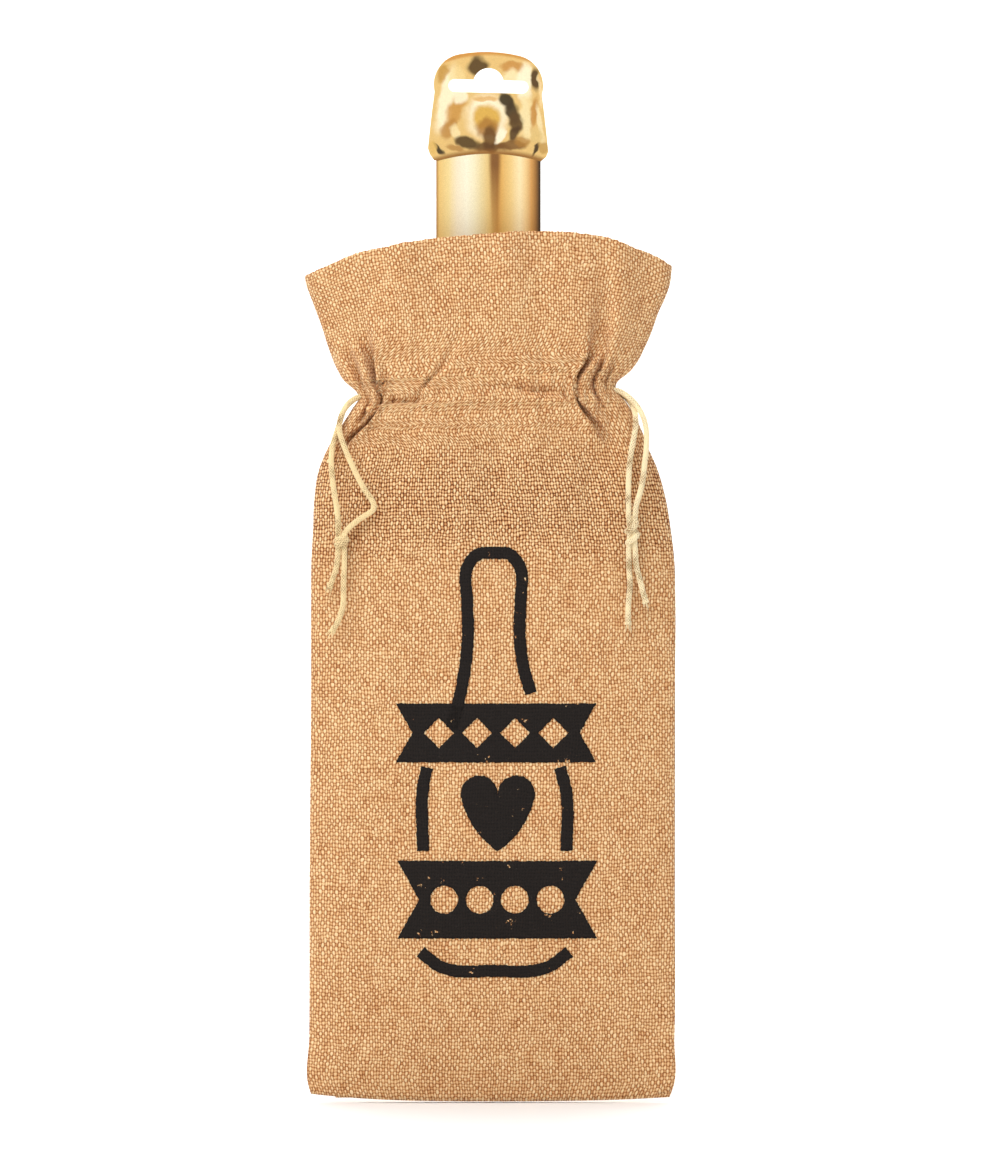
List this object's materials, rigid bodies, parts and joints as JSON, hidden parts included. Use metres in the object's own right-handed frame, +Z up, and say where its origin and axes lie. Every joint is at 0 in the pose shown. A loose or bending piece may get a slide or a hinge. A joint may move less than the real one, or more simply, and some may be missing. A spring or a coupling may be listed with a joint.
{
  "type": "wine gift bag",
  "caption": "Flat jute drawstring bottle bag with a gathered neck, knotted cords, a printed bottle motif and a gold bottle-top display card.",
  "frame": {"origin": "middle of the euro hang slot in the display card, on the card's middle plane", "axes": "+Z up, the printed front faces -Y, +X to the right as seen from the front"},
  "size_m": [0.1502, 0.0298, 0.4255],
  "materials": {
    "jute_cloth": "coarse plain-woven jute, matt",
    "sewing_thread": "spun polyester thread, matt",
    "screen_print_ink": "worn screen print, matt",
    "paperboard": "uncoated white board",
    "foil_print_film": "gloss laminate over a printed gold gradient",
    "braided_cord": "braided cotton, matt"
  },
  "bodies": {
    "bag": {"front_panel": "jute_cloth", "back_panel": "jute_cloth", "front_mouth_hem": "jute_cloth", "back_mouth_hem": "jute_cloth", "channel_stitch_upper": "sewing_thread", "channel_stitch_lower": "sewing_thread", "left_side_seam": "jute_cloth", "right_side_seam": "jute_cloth", "bottom_seam": "jute_cloth", "left_slit_bar_tacks": "sewing_thread", "right_slit_bar_tacks": "sewing_thread", "printed_motif": "screen_print_ink", "left_cord_channel_run": "braided_cord", "right_cord_channel_run": "braided_cord"},
    "card": {"display_card": "paperboard", "card_print_film": "foil_print_film"},
    "left_cord": {"left_cord_front_strand": "braided_cord", "left_cord_back_strand": "braided_cord"},
    "left_cord_ends": {"left_cord_knot": "braided_cord", "left_cord_long_tail": "braided_cord", "left_cord_short_tail": "braided_cord"},
    "right_cord": {"right_cord_front_strand": "braided_cord", "right_cord_back_strand": "braided_cord"},
    "right_cord_ends": {"right_cord_knot": "braided_cord", "right_cord_long_tail": "braided_cord", "right_cord_short_tail": "braided_cord"}
  },
  "joints": [
    {"name": "card_lift", "type": "slide", "parent": "bag", "child": "card", "axis": [0, 0, 1], "range_m": [0, 0.36]},
    {"name": "left_cord_swing", "type": "hinge", "parent": "bag", "child": "left_cord", "pos_m": [-0.05, 0, -0.1251], "axis": [0, 1, 0], "range_deg": [0, 95]},
    {"name": "left_cord_pull", "type": "slide", "parent": "left_cord", "child": "left_cord_ends", "axis": [-0.1361, 0, -0.9907], "range_m": [-0.036, 0.05], "deforming": ["left_cord_front_strand", "left_cord_back_strand"]},
    {"name": "right_cord_swing", "type": "hinge", "parent": "bag", "child": "right_cord", "pos_m": [0.05, 0, -0.1227], "axis": [0, -1, 0], "range_deg": [0, 95]},
    {"name": "right_cord_pull", "type": "slide", "parent": "right_cord", "child": "right_cord_ends", "axis": [0.1361, 0, -0.9907], "range_m": [-0.036, 0.05], "deforming": ["right_cord_front_strand", "right_cord_back_strand"]}
  ]
}
